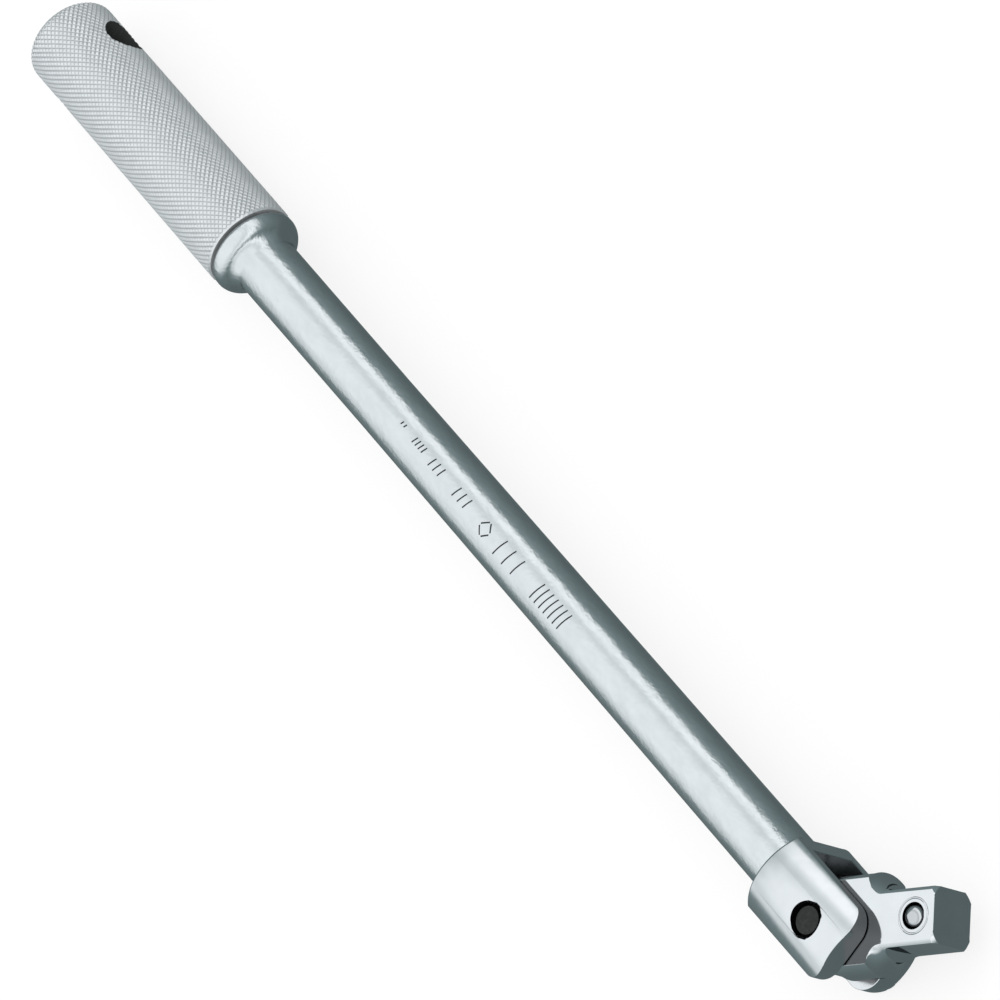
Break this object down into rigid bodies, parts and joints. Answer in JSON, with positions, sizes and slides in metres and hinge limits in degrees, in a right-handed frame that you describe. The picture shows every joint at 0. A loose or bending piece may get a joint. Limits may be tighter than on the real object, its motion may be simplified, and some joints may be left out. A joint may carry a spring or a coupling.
{
  "type": "breaker bar",
  "caption": "Flex-head breaker bar: knurled grip with cross hole, round shaft, fork and a hinged half-inch square-drive head with a sprung detent ball.",
  "frame": {"origin": "centre of the tool's bounding box, on the surface that it lies on", "axes": "+X along the handle from the grip to the head, +Y to the side that the head is swung towards, +Z along the hinge pin"},
  "size_m": [0.3482, 0.0363, 0.0262],
  "materials": {
    "satin_chrome": "satin",
    "knurled_chrome": "fine diamond knurl, satin",
    "polished_chrome": "polished",
    "dark_oxide_steel": "dark oxide, matt",
    "bright_steel": "bright"
  },
  "bodies": {
    "handle": {"shaft": "satin_chrome", "grip_sleeve": "knurled_chrome", "fork_yoke": "polished_chrome", "hinge_pin": "dark_oxide_steel", "friction_spring": "bright_steel"},
    "head": {"drive_head": "polished_chrome", "detent_spring": "bright_steel"},
    "ball": {"detent_ball": "bright_steel"},
    "plunger": {"friction_plunger": "bright_steel"}
  },
  "joints": [
    {"name": "head_hinge", "type": "hinge", "parent": "handle", "child": "head", "pos_m": [0.1475, -0.0073, 0.0131], "axis": [0, 0, 1], "range_deg": [-133.4, 46.6]},
    {"name": "ball_press", "type": "slide", "parent": "head", "child": "ball", "axis": [0, 0, -1], "range_m": [0, 0.0012], "stiffness_N_per_m": 2500, "springref_m": -0.0005, "deforming": ["detent_spring"]},
    {"name": "plunger_slide", "type": "slide", "parent": "handle", "child": "plunger", "axis": [-1, 0, 0], "range_m": [0, 0.0006], "stiffness_N_per_m": 2000, "deforming": ["friction_spring"]}
  ]
}
